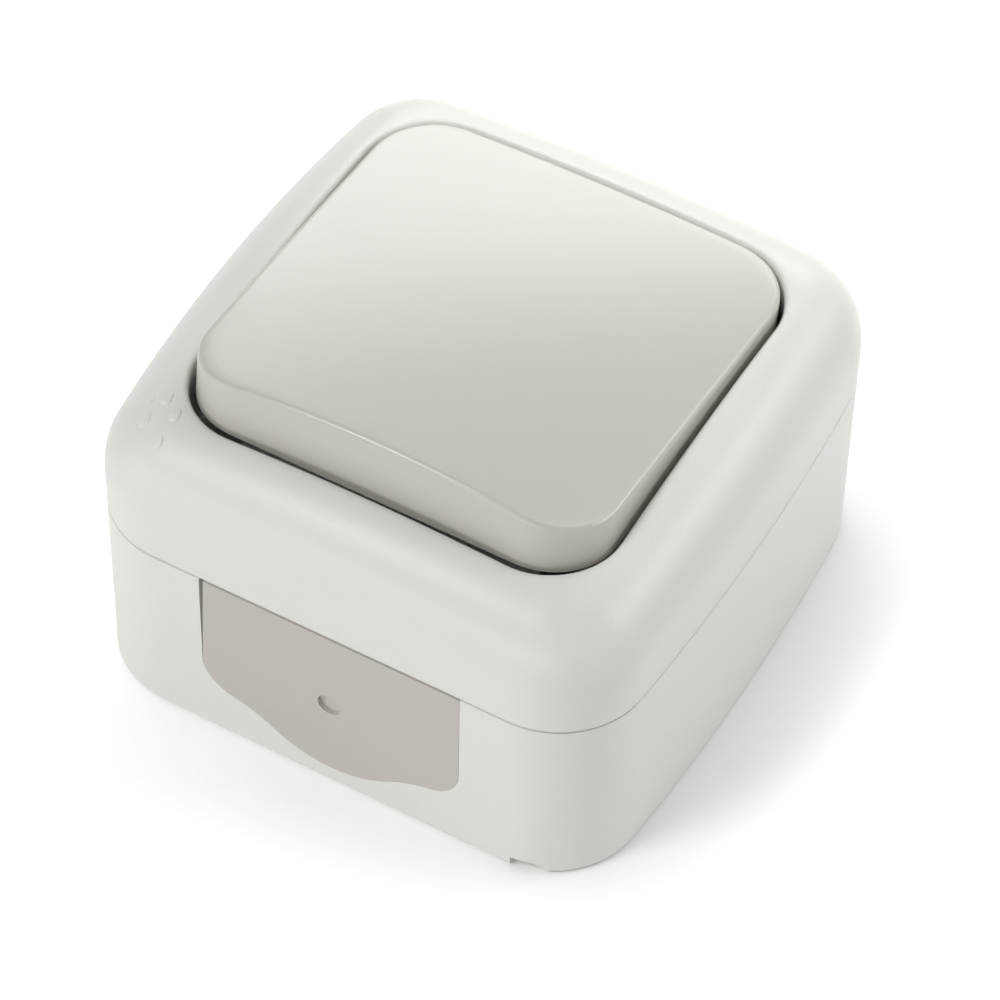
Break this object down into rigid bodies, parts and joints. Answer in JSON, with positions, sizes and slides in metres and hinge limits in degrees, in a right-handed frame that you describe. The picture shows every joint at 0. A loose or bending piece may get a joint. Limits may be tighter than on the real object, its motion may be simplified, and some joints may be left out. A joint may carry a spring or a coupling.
{
  "type": "weatherproof surface switch",
  "caption": "Square surface-mounted outdoor switch: domed frame, wide tilting rocker, box with soft cable membrane, wall-fixing holes and a spring-plunger contact mechanism.",
  "frame": {"origin": "centre of the back face, on the building wall", "axes": "+X along the cable-entry wall, +Y from the cable-entry wall to the far wall, +Z out of the building wall towards the rocker"},
  "size_m": [0.07, 0.0708, 0.0485],
  "materials": {
    "case_plastic": "fine matte moulded",
    "rocker_plastic": "satin moulded",
    "membrane_rubber": "soft matte",
    "seal_rubber": "matte",
    "mechanism_plastic": "moulded",
    "plunger_plastic": "moulded",
    "zinc_steel": "zinc plated",
    "contact_brass": "stamped",
    "contact_silver": "silver alloy, coined"
  },
  "bodies": {
    "housing": {"rear_box": "case_plastic", "front_frame": "case_plastic", "cable_membrane": "membrane_rubber", "rim_gasket": "seal_rubber", "window_seal": "seal_rubber", "switch_block": "mechanism_plastic", "cover_screws": "zinc_steel", "mechanism_screws": "zinc_steel", "line_terminal": "contact_brass", "load_terminal": "contact_brass", "line_terminal_screw": "zinc_steel", "load_terminal_screw": "zinc_steel", "line_clamp_plate": "zinc_steel", "load_clamp_plate": "zinc_steel", "fixed_contact": "contact_silver", "arm_bracket": "contact_brass", "arm_pin": "zinc_steel"},
    "rocker": {"rocker": "rocker_plastic", "cradle": "mechanism_plastic"},
    "plunger": {"plunger": "plunger_plastic", "plunger_spring": "zinc_steel"},
    "contact_arm": {"contact_arm": "contact_brass", "moving_contact": "contact_silver"}
  },
  "joints": [
    {"name": "rocker_tilt", "type": "hinge", "parent": "housing", "child": "rocker", "pos_m": [0, 0, 0.0385], "axis": [1, 0, 0], "range_deg": [0, 13.6]},
    {"name": "plunger_slide", "type": "slide", "parent": "rocker", "child": "plunger", "axis": [0, 0.1184, 0.993], "range_m": [0, 0.0006], "stiffness_N_per_m": 300, "deforming": ["plunger_spring"]},
    {"name": "contact_arm_tilt", "type": "hinge", "parent": "housing", "child": "contact_arm", "pos_m": [0, 0, 0.022], "axis": [1, 0, 0], "range_deg": [-15, 0]}
  ],
  "couplings": [
    {"joint": "contact_arm_tilt", "follows": "rocker_tilt", "ratio": -1.1029}
  ]
}
